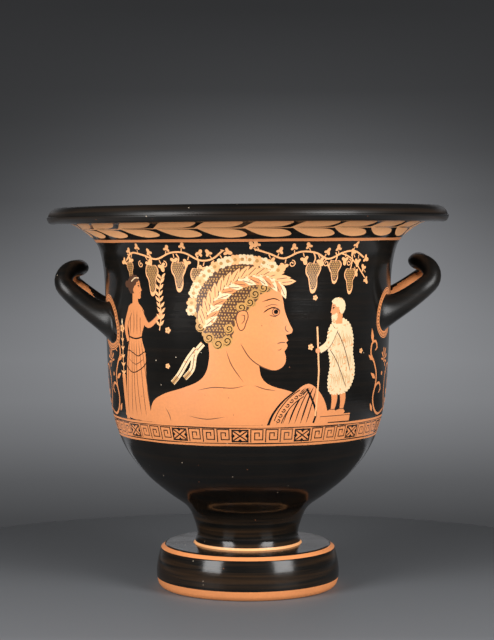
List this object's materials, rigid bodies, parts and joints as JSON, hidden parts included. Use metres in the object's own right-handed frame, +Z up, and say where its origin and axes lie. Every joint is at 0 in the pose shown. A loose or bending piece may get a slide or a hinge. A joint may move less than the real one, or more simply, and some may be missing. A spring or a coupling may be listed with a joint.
{
  "type": "bell krater",
  "caption": "Wide bell-shaped mixing bowl of fired clay with a heavy lip, two upcurled loop handles and a stepped disc foot.",
  "frame": {"origin": "middle of the flat resting ring, on the floor", "axes": "+Z up along the wheel axis, the handles along X, the painted front towards -Y"},
  "size_m": [0.399, 0.399, 0.3814],
  "materials": {
    "black_gloss": "black clay slip with a satin gloss, fired hard, faint brown brush streaks; reserved orange clay where it is left bare"
  },
  "bodies": {
    "root": {"bell_krater": "black_gloss"}
  },
  "joints": []
}
